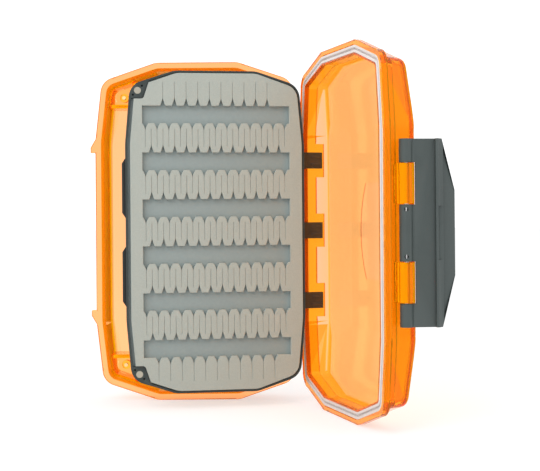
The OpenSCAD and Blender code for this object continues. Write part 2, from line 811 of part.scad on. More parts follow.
module latch_section(hook) {
    circle(latch_knuckle_r);
    polygon([[plate_in, 0], [plate_in, hook_y], [plate_in + hook_reach, hook_y],
             [plate_in + hook_reach, hook_y + hook / 3], [plate_in, hook_y + hook],
             [plate_in - dish_gap / 2, dish_y], [plate_in - wing_flare, wing_end],
             [plate_in - wing_flare - wing_t, wing_end - wing_t / 3],
             [plate_out, hook_end - hook_w / 2], [plate_out, 0]]);
}

// Plan of the latch: straight in the middle, falling away to the ends
module latch_plan() across(-2 * latch_knuckle_r, 2 * latch_knuckle_r) polygon([
    [-latch_knuckle_r, -latch_half], [hook_end, -latch_half], [wing_end, -wing_half],
    [wing_end, wing_half], [hook_end, latch_half], [-latch_knuckle_r, latch_half]]);

// Dished inner side of the wing, between rims along its slanted ends
module latch_dish() intersection() {
    bar(-latch_half, latch_half) polygon([
        [plate_in - dish_d, dish_y], [plate_in + past, dish_y], [plate_in + past, wing_end + past],
        [plate_in - wing_flare, wing_end + past], [plate_in - wing_flare, wing_end]]);
    across(-2 * latch_knuckle_r, 2 * latch_knuckle_r) polygon([
        [dish_y, -latch_half + 2 * rim_w], [wing_end, -wing_half + rim_w / 2],
        [wing_end + past, -wing_half + rim_w / 2], [wing_end + past, wing_half - rim_w / 2],
        [wing_end, wing_half - rim_w / 2], [dish_y, latch_half - 2 * rim_w]]);
}

module latch() color("dimgray") on_latch() difference() {
    intersection() {
        union() {
            bar(-barrel_z, barrel_z) latch_section(hook_w * 0.6);
            both_ways() bar(barrel_z - past, latch_half) latch_section(hook_w);
        }
        latch_plan();
    }
    // Room for the lid's barrels
    both_ways() rod_z(0, 0, barrel_z - barrel_end_gap, barrel_end + barrel_end_gap, barrel_clear);
    both_ways() rod_z(0, 0, latch_pin_z, latch_half + past, latch_pin_r);
    latch_dish();
    // Windows that show the pins
    both_ways() translate([0, -latch_pin_r / 2, latch_pin_z + window_z])
        rotate([0, 90, 0]) cylinder(r = window_r, h = latch_knuckle_r + past);
}

module latch_pin(way) color("silver") on_latch() mirror([0, 0, way > 0 ? 0 : 1])
    rod_z(0, 0, latch_pin_z, latch_half - latch_pin_in, latch_pin_r);

base_shell();
base_magnet(magnet_z);  // base_magnet_top
base_magnet(-magnet_z);  // base_magnet_bottom
hinge_pin(hinge_pitch);  // hinge_pin_top
hinge_pin(0);  // hinge_pin_middle
hinge_pin(-hinge_pitch);  // hinge_pin_bottom
lid_shell();
lid_gasket();
leaf_bracket(hinge_pitch);  // leaf_bracket_top
leaf_bracket(0);  // leaf_bracket_middle
leaf_bracket(-hinge_pitch);  // leaf_bracket_bottom
leaf_frame();
leaf_panel();
leaf_foam_front();
leaf_foam_back();
leaf_magnet(magnet_z);  // leaf_magnet_top
leaf_magnet(-magnet_z);  // leaf_magnet_bottom
leaf_pin(hinge_pitch);  // leaf_pin_top
leaf_pin(0);  // leaf_pin_middle
leaf_pin(-hinge_pitch);  // leaf_pin_bottom
latch();
latch_pin(1);  // latch_pin_upper
latch_pin(-1);  // latch_pin_lower
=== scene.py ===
"""Looks of the fly box: clear orange shells, slit foam leaf, dark grey latch, soft studio light."""
import json
import math
import random

import bmesh
import bpy
from mathutils import Matrix, Vector


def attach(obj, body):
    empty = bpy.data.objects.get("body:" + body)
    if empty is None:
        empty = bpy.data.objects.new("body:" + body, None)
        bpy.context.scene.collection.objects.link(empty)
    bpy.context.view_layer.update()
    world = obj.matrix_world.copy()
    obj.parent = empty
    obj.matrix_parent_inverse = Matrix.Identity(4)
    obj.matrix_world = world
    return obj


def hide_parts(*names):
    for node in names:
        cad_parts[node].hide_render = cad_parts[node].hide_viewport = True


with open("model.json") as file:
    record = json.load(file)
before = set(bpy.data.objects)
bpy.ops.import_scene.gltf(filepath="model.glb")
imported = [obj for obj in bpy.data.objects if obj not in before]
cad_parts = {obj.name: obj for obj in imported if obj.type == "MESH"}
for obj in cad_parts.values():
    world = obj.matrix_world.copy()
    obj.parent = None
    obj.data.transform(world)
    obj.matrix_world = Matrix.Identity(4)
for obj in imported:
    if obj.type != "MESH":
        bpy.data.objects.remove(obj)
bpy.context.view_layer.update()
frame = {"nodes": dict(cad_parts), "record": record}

MM = 0.001

# Camera, fitted to the photograph: a level view along +Y with a slight roll
IMAGE_W = 540
IMAGE_H = 471
CAMERA_PLACE = Vector((35.4, -542, 90.8)) * MM
FOCAL_PX = 1108
VIEW_CENTRE_Y = 213.4
ROLL_DEG = 0.457
SENSOR_MM = 36
NEAR_CLIP = 0.01

# Sizes of the box and the leaf as in the part's source, in millimetres
BOX_H = 165
SHOULDER_DROP = 9
SHOULDER_IN = 3.3
LEAN_R = 35
SHOULDER_R = 8
END_R = 12
HINGE = (50.85, -1.5)
LEAF_PIVOT = (40.35, 3.65)
LID_OPEN = 108.7
LEAF_OPEN = 7.8
LEAF_W = 83.7
LEAF_H = 150
LEAF_FLAT = 38.2
LEAF_STRAIGHT = 41.2
LEAF_SHOULDER_IN = 0.7 * SHOULDER_IN
LEAF_SHOULDER_DROP = 0.75 * SHOULDER_DROP

# Sizes of the foam as in the source, with its gap to the frame included
FOAM_INSET = 1.15
FOAM_T = 2.5
FOAM_FRONT_Y = -3.4
FOAM_BACK_Y = 0.3
HINGE_BAR_W = 5.35
TAB_W = 8.45
TAB_H = 13.15
TAB_LEAN = 0.3365
TAB_R = 1.5
ROWS = 6
ROW_H = 8.1
ROW_L = 69.7
NOTCHES = 13
NOTCH_PITCH = 5.42
SLIT_D = 11

# Sizes of the foam that were fitted to the photograph, and differ from the source's. A notch
# has a width, a power that bends its sides, and a depth.
FREE_GAP = 1.1
ROW_PITCH = 21.73
ROW_LEFT_IN = 0.9
ROW_UP = 0.25
NOTCH_DOWN = (2.9, 1.8, 3.4)
NOTCH_UP = (2.3, 1.25, 3.6)
SLIT_W = 0.06

# Only here: how much a notch's depth varies, where its sides have points, and the soft edges
NOTCH_DEPTH_SPREAD = 0.05
NOTCH_STEPS = (0, 0.06, 0.14, 0.24, 0.36, 0.5, 0.66, 0.82, 1)
FOAM_EDGE = 0.22
FOAM_SHARP_DEG = 50

# Skins: faces within FLAT_DEG of each other are one flat region. On the shells, convex corners
# between regions over CORNER_MM2 are rounded, and two regions over BROAD_MM2 shade apart.
# Edges are radii in millimetres, and WELD is a distance in metres.
WELD = 1e-6
FLAT_DEG = 0.2
CORNER_DEG = 50
CORNER_MM2 = 60
CORNER_EDGE = 0.3
BROAD_MM2 = 150
SHELL_SHARP_DEG = 28
SOFT_SHARP_DEG = 35
LATCH_EDGE = 0.35
SMALL_EDGE = 0.15

# Tints of the clear plastic: linear red, green and blue, and clearness from 0 to 1. Only the
# base's, the lid's and the hinge wall's tints are the plastic's own colour. The others are painted
# light: a deeper, partly matt orange glow on walls, steps, slopes, pads and rims, as of light
# running long in the plastic, and a paler painted light on the flange, the inner ends and the
# pad arcs.
TINT_BASE = (1.0, 0.49, 0.54, 1.0)
PAINTED_LIGHT_FLANGE = (1.0, 0.46, 0.70, 1.0)
PAINTED_GLOW_INNER_WALL = (1.0, 0.68, 0.004, 0.08)
PAINTED_GLOW_OUTER_WALL = (1.0, 0.50, 0.03, 0.4)
PAINTED_LIGHT_INNER_END = (1.0, 0.90, 0.40, 0.1)
PAINTED_GLOW_PAD = (1.0, 0.39, 0.24, 1.0)
PAINTED_LIGHT_PAD_ARC = (1.0, 0.75, 0.75, 1.0)
TINT_LID = (1.0, 0.47, 0.42, 1.0)
PAINTED_GLOW_LID_FACE = (1.0, 0.36, 0.05, 0.85)
PAINTED_GLOW_LID_STEP = (1.0, 0.48, 0.004, 0.3)
PAINTED_GLOW_LID_SLOPE = (1.0, 0.48, 0.004, 0.15)
PAINTED_GLOW_LID_END = (1.0, 0.40, 0.08, 0.9)
PAINTED_GLOW_LATCH_WALL = (1.0, 0.50, 0.02, 0.85)
PAINTED_GLOW_HINGE_RIM = (1.0, 0.33, 0.02, 0.8)
TINT_HINGE_WALL = TINT_BASE

# Limits between the tints and the painted glow and light, for the shut box with its latch toward
# -X. A lean is how much of a normal points along the depth, and a turn how much of it points
# along the height. Depths are millimetres from the parting plane, and sides and ends are
# millimetres from the box's middle.
FACE_LEAN = 0.75
WALL_LEAN = 0.3
FLANGE_END = 3.1
PADS_SIDE = -30
PAD_FRONT_END = 3.4
PAD_ARC_END = 3.8
PAD_FLOOR = (4.9, 5.5)
PAD_WALLS_END = 72
PAD_WALL_TURN = 0.9
END_WALL_TURN = 0.97
ENDS_FROM = 60
LID_FACE_LEAN = 0.95
LID_WALL_LEAN = 0.3
LID_FACE_END = 0.2
LID_FLANGE_BACK = (2.3, 3.3)
LID_RIM_BACK = (6.2, 7.0)
LID_RIM_END = 6.8
LATCH_SIDE = -38
LATCH_SLOPE_SIDE = -40

# Light in the clear plastic
PLASTIC_IOR = 1.47
HAZE_NOISE = (0.35, 0.7)
HAZE = (0.08, 0.13)
COVERED_THROUGH = 0.5
ORANGE_SHINE = (1.0, 0.60, 0.10)
ORANGE_ABSORB = (1.0, 0.95, 0.0)
ORANGE_DENSITY = 480
ORANGE_SHADOW = (1.0, 0.70, 0.42)

# Colours of the other materials, linear
DARK_GREY = (0.037, 0.051, 0.049)
DARK_WORN = (0.066, 0.082, 0.079)
FRAME_GREY = (0.029, 0.040, 0.038)
FRAME_WORN = (0.050, 0.062, 0.060)
# painted light: the brackets are dark grey plastic; their brown and brown worn tones are the orange
# light around them painted in
BRACKET_ORANGE_LIT = (0.046, 0.030, 0.019)
BRACKET_WORN_ORANGE_LIT = (0.075, 0.050, 0.032)
# painted shade: the near black that corners and gaps of the dark plastic darken to
CREVICE_SHADE = (0.008, 0.009, 0.009)
PANEL_GREY = (0.278, 0.333, 0.330)
FOAM_LIGHT = (0.420, 0.455, 0.415)
FOAM_DARK = (0.355, 0.385, 0.350)
SEAL_WHITE = (0.80, 0.74, 0.72)
STEEL = (0.88, 0.88, 0.88)
LEAF_MAGNET = (0.40, 0.37, 0.30)
# painted light: the base magnets' orange is the light they get through the orange plastic, put into
# the steel's colour
BASE_MAGNET = (1.0, 0.62, 0.30)

# NOISE_SPAN holds nearly all of a noise's values, and WHOLE runs from none to all
NOISE_SPAN = (0.3, 0.7)
WHOLE = (0.0, 1.0)

# Dark plastic: how much worn tone the mottle and the worn edges show, how pointed an edge is
# that wears, and how far the shade painted into corners and gaps reaches, in metres
MOTTLE_SHARE = (0.0, 0.35)
WORN_SHARE = (0.0, 0.7)
WORN_POINTINESS = (0.52, 0.60)
CREVICE_SHADE_REACH = 0.003

# Marks on the steel, per metre along X, Y and Z
STEEL_MARKS = (400, 400, 6000)

# Studio, in metres and watts: a world that lights softly but is seen white, a floor that glows
# a little, and two lamps
WHITE = (1.0, 1.0, 1.0)
WORLD_LIGHT = 0.88
WORLD_SEEN = 1.25
FLOOR_REACH = 6.0
FLOOR_DROP = 0.0001
FLOOR_WHITE = (0.86, 0.86, 0.86)
FLOOR_GLOW = (1.4, 2.0)
FLOOR_GLOW_SHARE = 0.4
LAMP_TARGET = (0.03, 0, 0.08)
LAMP_SIDE = 0.8
KEY_PLACE = (-0.5, -0.9, 0.9)
KEY_POWER = 6
FILL_PLACE = (0.9, -0.6, 0.6)
FILL_POWER = 1.5


# Node helpers

class Tree:
    """The node tree of a new material or world, with short calls to add and join nodes."""

    def __init__(self, name, store=bpy.data.materials, output="ShaderNodeOutputMaterial"):
        self.owner = store.new(name)
        self.owner.use_nodes = True
        self.nodes = self.owner.node_tree.nodes
        self.links = self.owner.node_tree.links
        self.nodes.clear()
        self.output = self.add(output)

    def feed(self, target, value):
        """Joins a socket to the target, or sets the target to a number, colour or vector."""
        if isinstance(value, bpy.types.NodeSocket):
            self.links.new(value, target)
        elif target.type == "RGBA":
            target.default_value = (*value, 1)
        else:
            target.default_value = value

    def add(self, kind, settings=(), **inputs):
        """A new node with its settings, and with its inputs fed by name (_ stands for a space)."""
        node = self.nodes.new(kind)
        for key, value in settings:
            setattr(node, key, value)
        for key, value in inputs.items():
            self.feed(node.inputs[key.replace("_", " ")], value)
        return node

    def place(self):
        return self.add("ShaderNodeTexCoord").outputs["Object"]

    def noise(self, scale, detail, roughness=0.5):
        node = self.add("ShaderNodeTexNoise", Vector=self.place(), Scale=scale, Detail=detail,
                        Roughness=roughness)
        return node.outputs["Fac"]

    def remap(self, value, span_in, span_out):
        node = self.add("ShaderNodeMapRange", Value=value, From_Min=span_in[0],
                        From_Max=span_in[1], To_Min=span_out[0], To_Max=span_out[1])
        return node.outputs["Result"]

    def highest(self, *values):
        top = values[0]
        for value in values[1:]:
            node = self.add("ShaderNodeMath", [("operation", "MAXIMUM")])
            self.feed(node.inputs[0], top)
            self.feed(node.inputs[1], value)
            top = node.outputs[0]
        return top

    def colour_between(self, share, low, high):
        """A mixed colour. The node's colour sockets are its inputs 6 and 7 and its output 2."""
        node = self.add("ShaderNodeMix", [("data_type", "RGBA")], Factor=share)
        self.feed(node.inputs[6], low)
        self.feed(node.inputs[7], high)
        return node.outputs[2]

    def shader_between(self, share, low, high):
        node = self.add("ShaderNodeMixShader")
        for target, value in zip(node.inputs, (share, low, high)):
            self.feed(target, value)
        return node.outputs[0]

    def bump(self, height, distance, strength):
        node = self.add("ShaderNodeBump", Height=height, Distance=distance, Strength=strength)
        return node.outputs["Normal"]

    def shader(self, kind, **inputs):
        return self.add(kind, **inputs).outputs[0]

    def principled(self, **inputs):
        return self.shader("ShaderNodeBsdfPrincipled", **inputs)

    def surface(self, shader):
        """Makes the shader the tree's surface, and gives the finished material or world."""
        self.feed(self.output.inputs["Surface"], shader)
        return self.owner


def darker(colour, share):
    return tuple(share * c for c in colour)


# Materials

def clear_orange():
    """Moulded clear plastic. Each face's tint gives its colour and its clearness; on most faces
    the tint is painted light, a deeper orange glow or a paler light that the plastic itself lacks.
    What isn't clear is half matt and half a plain tinted veil. Lamps shine through with a paler
    orange."""
    t = Tree("clear_orange")
    # the face attribute holds the plastic's own tint and the painted glow and light
    tint_and_glow = t.add("ShaderNodeAttribute", [("attribute_name", "tint_and_glow")]).outputs
    glass = t.principled(
        Base_Color=tint_and_glow["Color"], Transmission_Weight=tint_and_glow["Alpha"], IOR=PLASTIC_IOR,
        Roughness=t.remap(t.noise(scale=60, detail=4), HAZE_NOISE, HAZE),
        Specular_Tint=ORANGE_SHINE, Specular_IOR_Level=0.0,
        Normal=t.bump(t.noise(scale=55, detail=2), distance=0.00015, strength=0.25))
    veil = t.shader("ShaderNodeBsdfTransparent", Color=tint_and_glow["Color"])
    lit = t.shader_between(t.remap(tint_and_glow["Alpha"], WHOLE, (COVERED_THROUGH, 0)), glass, veil)
    lamp_rays = t.shader("ShaderNodeBsdfTransparent", Color=ORANGE_SHADOW)
    shadow = t.add("ShaderNodeLightPath").outputs["Is Shadow Ray"]
    depth = t.shader("ShaderNodeVolumeAbsorption", Color=ORANGE_ABSORB, Density=ORANGE_DENSITY)
    t.feed(t.output.inputs["Volume"], depth)
    return t.surface(t.shader_between(shadow, lit, lamp_rays))


def dark_plastic(name="dark_plastic", tone=DARK_GREY, worn_tone=DARK_WORN, shine=0.5,
                 shade_span=(0.2, 0.75)):
    """Satin moulded plastic with a fine spark-eroded texture and paler worn edges. Where a place
    is less open than the shade span, shade is painted in: it darkens toward near black."""
    t = Tree(name)
    mottle = t.noise(scale=180, detail=4)
    edge = t.add("ShaderNodeNewGeometry").outputs["Pointiness"]
    worn = t.remap(edge, WORN_POINTINESS, WORN_SHARE)
    # painted shade: ambient occlusion darkens corners and gaps
    open_air = t.add("ShaderNodeAmbientOcclusion", Distance=CREVICE_SHADE_REACH).outputs["AO"]
    colour = t.colour_between(t.remap(mottle, NOISE_SPAN, MOTTLE_SHARE), tone, worn_tone)
    colour = t.colour_between(worn, colour, worn_tone)
    colour = t.colour_between(t.remap(open_air, shade_span, WHOLE), CREVICE_SHADE, colour)
    return t.surface(t.principled(
        Base_Color=colour, Specular_IOR_Level=shine,
        Roughness=t.remap(mottle, NOISE_SPAN, (0.42, 0.56)),
        Normal=t.bump(t.noise(scale=2600, detail=2), distance=0.00004, strength=0.5)))


def foam():
    """Closed-cell foam: fine cells, a faint mottle and a soft, dry surface."""
    t = Tree("foam")
    cells = t.noise(scale=2200, detail=3, roughness=0.6)
    cloud = t.noise(scale=90, detail=4)
    colour = t.colour_between(t.remap(cells, NOISE_SPAN, WHOLE), FOAM_DARK, FOAM_LIGHT)
    colour = t.colour_between(t.remap(cloud, NOISE_SPAN, (0.0, 0.3)), colour, FOAM_LIGHT)
    return t.surface(t.principled(Base_Color=colour, Roughness=0.92, Sheen_Weight=0.15,
                                  Normal=t.bump(cells, distance=0.00008, strength=0.6)))


def panel():
    """Smooth pressed sheet behind the foam."""
    t = Tree("panel")
    grain = t.noise(scale=700, detail=3)
    share = t.remap(grain, NOISE_SPAN, WHOLE)
    return t.surface(t.principled(
        Base_Color=t.colour_between(share, darker(PANEL_GREY, 0.94), PANEL_GREY),
        Roughness=t.remap(grain, NOISE_SPAN, (0.5, 0.62)),
        Normal=t.bump(grain, distance=0.00003, strength=0.4)))


def seal():
    """Pale silicone rubber."""
    t = Tree("seal")
    cloud = t.noise(scale=300, detail=3)
    share = t.remap(cloud, NOISE_SPAN, WHOLE)
    return t.surface(t.principled(
        Base_Color=t.colour_between(share, darker(SEAL_WHITE, 0.92), SEAL_WHITE),
        Roughness=t.remap(cloud, NOISE_SPAN, (0.45, 0.6)),
        Normal=t.bump(t.noise(scale=1500, detail=2), distance=0.00003, strength=0.4)))


def steel(name="steel", tone=STEEL):
    """Bright ground steel with fine turning marks."""
    t = Tree(name)
    stretched = t.add("ShaderNodeMapping", Vector=t.place(), Scale=STEEL_MARKS).outputs["Vector"]
    marks = t.add("ShaderNodeTexNoise", Vector=stretched, Scale=1.0).outputs["Fac"]
    share = t.remap(marks, NOISE_SPAN, WHOLE)
    return t.surface(t.principled(
        Base_Color=t.colour_between(share, darker(tone, 0.85), tone), Metallic=1.0,
        Roughness=t.remap(marks, NOISE_SPAN, (0.3, 0.45)),
        Normal=t.bump(marks, distance=0.00001, strength=0.5)))


MAKERS = {
    "clear_orange": clear_orange,
    "seal_white": seal,
    "dark_grey": dark_plastic,
    "panel_grey": panel,
    "foam_grey": foam,
    "steel": steel,
}
MATERIALS = {slot: make() for slot, make in MAKERS.items()}
SLOT_OF = {s["node"]: s["material_slot"] for s in frame["record"]["subparts"]}
BODY_OF = {n: b for b, names in frame["record"]["behaviour"]["bodies"].items() for n in names}


# Skins

def paint(mesh, material):
    mesh.materials.clear()
    mesh.materials.append(material)


def add_piece(name, mesh, node, material=None):
    """Adds the mesh as the piece that stands for a CAD node, in its slot's material or another."""
    paint(mesh, material or MATERIALS[SLOT_OF[node]])
    piece = bpy.data.objects.new(name, mesh)
    bpy.context.scene.collection.objects.link(piece)
    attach(piece, BODY_OF[node])
    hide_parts(node)
    return piece


def welded_copy(node):
    """A copy of a CAD node's mesh for its skin, and the copy's welded form to work on."""
    mesh = frame["nodes"][node].data.copy()
    mesh.name = node + "_skin"
    bm = bmesh.new()
    bm.from_mesh(mesh)
    bmesh.ops.remove_doubles(bm, verts=bm.verts, dist=WELD)
    return mesh, bm


def write_smooth(bm, mesh):
    """Writes the worked form back into the mesh, smoothly shaded."""
    for face in bm.faces:
        face.smooth = True
    bm.to_mesh(mesh)
    bm.free()


def soft_skin(node, edge_mm, material=None):
    """Skin of a smaller piece: its sharp edges are rounded by a modifier."""
    mesh, bm = welded_copy(node)
    write_smooth(bm, mesh)
    mesh.set_sharp_from_angle(angle=math.radians(SOFT_SHARP_DEG))
    bevel = add_piece(node + "_skin", mesh, node, material).modifiers.new("edges", "BEVEL")
    bevel.width = edge_mm * MM
    bevel.segments = 2
    bevel.limit_method = "ANGLE"
    bevel.angle_limit = math.radians(SOFT_SHARP_DEG)
    bevel.harden_normals = True


def shell_skin(node, shut, way, tint_and_glow_at):
    """Skin of a shell: only the corners between broad faces are rounded, so that narrow steps
    stay whole. shut turns the shell to its shut place, and way is 1 behind the parting plane
    and -1 in front of it."""
    mesh, bm = welded_copy(node)
    region, areas = flat_regions(bm)
    corners = [e for e in bm.edges
               if e.calc_face_angle(0) > math.radians(CORNER_DEG) and e.is_convex
               and min(areas[region[f.index]] for f in e.link_faces) > CORNER_MM2 * MM * MM]
    bmesh.ops.bevel(bm, geom=corners, offset=CORNER_EDGE * MM, offset_type="OFFSET", segments=3,
                    profile=0.5, affect="EDGES", clamp_overlap=True)
    bmesh.ops.remove_doubles(bm, verts=bm.verts, dist=WELD / 10)
    write_smooth(bm, mesh)
    mould_normals(mesh)
    paint_tint_and_glow(mesh, shut, way, tint_and_glow_at)
    add_piece(node + "_skin", mesh, node)


def flat_regions(bm):
    """The number of the flat region that each face lies in, by its index, and the areas."""
    limit = math.radians(FLAT_DEG)
    region, areas = {}, []
    for first in bm.faces:
        if first.index in region:
            continue
        region[first.index] = len(areas)
        todo, area = [first], 0.0
        while todo:
            face = todo.pop()
            area += face.calc_area()
            for edge in face.edges:
                for other in edge.link_faces:
                    if other.index not in region and face.normal.angle(other.normal, 0) < limit:
                        region[other.index] = region[first.index]
                        todo.append(other)
        areas.append(area)
    return region, areas


def sharp_edges(bm, region, areas):
    """Where the shading breaks: at sharp edges, and between two broad regions."""
    sharp = set()
    for edge in bm.edges:
        one, two = edge.link_faces
        parted = region[one.index] != region[two.index]
        smaller = min(areas[region[one.index]], areas[region[two.index]])
        turn = one.normal.angle(two.normal, 0)
        if turn > math.radians(SHELL_SHARP_DEG) or (parted and smaller > BROAD_MM2 * MM * MM):
            sharp.add(edge.index)
    return sharp


def fans(bm, vert, sharp):
    """Groups of faces about a vertex, parted where the shading breaks."""
    left = set(face.index for face in vert.link_faces)
    while left:
        fan, todo = [], [left.pop()]
        while todo:
            face = bm.faces[todo.pop()]
            fan.append(face)
            for edge in face.edges:
                if vert not in edge.verts or edge.index in sharp:
                    continue
                for other in edge.link_faces:
                    if other.index in left:
                        left.remove(other.index)
                        todo.append(other.index)
        yield fan


def mould_normals(mesh):
    """Shading that keeps broad faces flat and lets only the narrow strips between them turn."""
    bm = bmesh.new()
    bm.from_mesh(mesh)
    bm.faces.ensure_lookup_table()
    region, areas = flat_regions(bm)
    sharp = sharp_edges(bm, region, areas)
    loop_at = {(face.index, loop.vert.index): loop.index
               for face in bm.faces for loop in face.loops}
    normals = [None] * len(mesh.loops)
    for vert in bm.verts:
        for fan in fans(bm, vert, sharp):
            flats = {}
            for face in fan:
                flats.setdefault(region[face.index], face.normal)
            total = sum((normal * areas[number] for number, normal in flats.items()), Vector())
            for face in fan:
                normals[loop_at[face.index, vert.index]] = total.normalized()
    bm.free()
    mesh.normals_split_custom_set(normals)


def base_tint_and_glow(normal, depth, place):
    """Tint of a flat region of the base: the plastic's own tint on its floor, and painted light
    elsewhere. Broad faces take the walls' painted orange glow as they lean over, the flange and
    the inner ends a painted paler light, and the two magnet pads on the latch's side their own
    painted glow, with a painted pale arc by each magnet."""
    face = TINT_BASE
    if depth < FLANGE_END:
        face = PAINTED_LIGHT_FLANGE
    elif place.x < PADS_SIDE:
        if PAD_FRONT_END <= depth < PAD_ARC_END:
            return PAINTED_LIGHT_PAD_ARC
        if abs(normal.z) > PAD_WALL_TURN and abs(place.z) < PAD_WALLS_END:
            return PAINTED_GLOW_PAD
        if depth < PAD_FRONT_END or PAD_FLOOR[0] < depth < PAD_FLOOR[1]:
            face = PAINTED_GLOW_PAD
    inward = normal.x * place.x + normal.z * place.z < 0
    if inward and abs(normal.z) > END_WALL_TURN and abs(place.z) > ENDS_FROM:
        return PAINTED_LIGHT_INNER_END
    wall = PAINTED_GLOW_INNER_WALL if inward else PAINTED_GLOW_OUTER_WALL
    share = (FACE_LEAN - abs(normal.y)) / (FACE_LEAN - WALL_LEAN)
    share = max(0.0, min(1.0, share))
    return tuple(a + (b - a) * share for a, b in zip(face, wall))


def lid_tint_and_glow(normal, depth, place):
    """Tint of a flat region of the lid: faces, then slopes, then walls by end and side. Only the
    main faces and the hinge wall keep the plastic's own tint; the rest is a painted orange glow.
    """
    lean = abs(normal.y)
    if lean > LID_FACE_LEAN:
        if depth < LID_FACE_END:
            return PAINTED_GLOW_LID_FACE
        on_step = any(low < depth < high for low, high in (LID_FLANGE_BACK, LID_RIM_BACK))
        return PAINTED_GLOW_LID_STEP if on_step and place.x < LATCH_SIDE else TINT_LID
    if lean > LID_WALL_LEAN:
        return PAINTED_GLOW_LID_SLOPE if place.x < LATCH_SLOPE_SIDE else PAINTED_GLOW_LID_END
    if abs(place.z) > ENDS_FROM:
        return PAINTED_GLOW_LID_END
    if place.x < LATCH_SIDE:
        return PAINTED_GLOW_LATCH_WALL
    return PAINTED_GLOW_HINGE_RIM if depth < LID_RIM_END else TINT_HINGE_WALL


def paint_tint_and_glow(mesh, shut, way, tint_and_glow_at):
    """Gives each flat region of a shell one tint, by its normal and middle in the shut box: the
    plastic's own colour on some, and painted glow and light on the rest.
    """
    bm = bmesh.new()
    bm.from_mesh(mesh)
    region, areas = flat_regions(bm)
    middles = [Vector() for _ in areas]
    for face in bm.faces:
        middles[region[face.index]] += face.calc_center_median() * face.calc_area()
    normals = {region[face.index]: shut.to_3x3() @ face.normal for face in bm.faces}
    bm.free()
    tint_and_glow = mesh.attributes.new("tint_and_glow", "FLOAT_COLOR", "FACE")
    for face in mesh.polygons:
        number = region[face.index]
        place = shut @ (middles[number] / areas[number] / MM) - Vector((0, 0, BOX_H / 2))
        tint_and_glow.data[face.index].color = tint_and_glow_at(normals[number], place.y * way, place)


# Foam

def turn_about(pivot, degrees):
    """A turn about an upright axis through the pivot, given as (x, y)."""
    there = Matrix.Translation((pivot[0], pivot[1], 0))
    return there @ Matrix.Rotation(math.radians(degrees), 4, "Z") @ there.inverted()


# From the leaf's place in the shut box, in millimetres, to its place in the scene
ON_LEAF = (Matrix.Scale(MM, 4) @ Matrix.Translation((0, 0, BOX_H / 2))
           @ turn_about(HINGE, LID_OPEN) @ turn_about(LEAF_PIVOT, LEAF_OPEN - LID_OPEN))


def round_corner(a, b, c, radius, steps=5):
    """Points of an arc that rounds corner b between a and c."""
    to_a, to_c = (a - b).normalized(), (c - b).normalized()
    half = math.acos(max(-1.0, min(1.0, to_a.dot(to_c)))) / 2
    reach = radius / math.tan(half)
    centre = b + (to_a + to_c).normalized() * radius / math.sin(half)
    start, end = b + to_a * reach - centre, b + to_c * reach - centre
    turn = start.angle_signed(end)
    return [centre + Matrix.Rotation(-turn * i / steps, 2) @ start for i in range(steps + 1)]


def leaf_outline():
    """Foam's outline in the leaf, drawn inside the frame; the free side stands further in."""
    w, h = LEAF_W / 2 - FOAM_INSET, LEAF_H / 2 - FOAM_INSET
    quarter = [Vector((w, LEAF_STRAIGHT)),
               Vector((w - LEAF_SHOULDER_IN, h - LEAF_SHOULDER_DROP)),
               Vector((LEAF_FLAT / 2, h))]
    flip = [Vector((-p.x, p.y)) for p in reversed(quarter)]
    upper = quarter + flip
    corners = upper + [Vector((-p.x, -p.y)) for p in upper]
    radii = [LEAN_R, SHOULDER_R, END_R, END_R, SHOULDER_R, LEAN_R] * 2
    loop = []
    for i, corner in enumerate(corners):
        before, after = corners[i - 1], corners[(i + 1) % len(corners)]
        loop += round_corner(before, corner, after, radii[i] - FOAM_INSET)
    return [Vector((p.x + FREE_GAP if p.x < 0 else p.x, p.y)) for p in loop]


def crossing(a, b, inside):
    """Point between a and b where the border of a region runs, by halving."""
    was = inside(a)
    for _ in range(30):
        mid = (a + b) / 2
        if inside(mid) == was:
            a = mid
        else:
            b = mid
    return (a + b) / 2


def without_tab(loop, way):
    """The loop with the magnet's corner tab left out, at the top (way 1) or bottom (way -1)."""
    foot = LEAF_H / 2 - TAB_H
    side = -LEAF_W / 2 + TAB_W

    def inside(p):
        z = p.y * way
        return z > foot and p.x < side + (z - foot) * TAB_LEAN

    kept = []
    for i, p in enumerate(loop):
        before = loop[i - 1]
        if inside(before) != inside(p):
            kept.append(crossing(before, p, inside))
            if inside(p):
                gap_at = len(kept)
        if not inside(p):
            kept.append(p)
    corner = Vector((side, foot * way))
    arc = round_corner(kept[gap_at - 1], corner, kept[gap_at % len(kept)], TAB_R)
    return kept[:gap_at] + arc + kept[gap_at:]


def without_hinge_bar(loop):
    """The loop cut straight along the bar behind the leaf's hinge side."""
    edge = LEAF_W / 2 - HINGE_BAR_W
    return [Vector((min(p.x, edge), p.y)) for p in loop]


def notch(x, edge, way, width, curve, depth):
    """Notch between two rounded teeth and the slit below it, from the row's left to its right."""
    def half(t):
        return (width - SLIT_W) / 2 * (1 - t) ** curve + SLIT_W / 2

    down = [Vector((x - half(t), edge + way * t * depth)) for t in NOTCH_STEPS]
    up = [Vector((x + half(t), edge + way * t * depth)) for t in reversed(NOTCH_STEPS)]
    foot = edge + way * SLIT_D
    return down + [Vector((x - SLIT_W / 2, foot)), Vector((x + SLIT_W / 2, foot))] + up


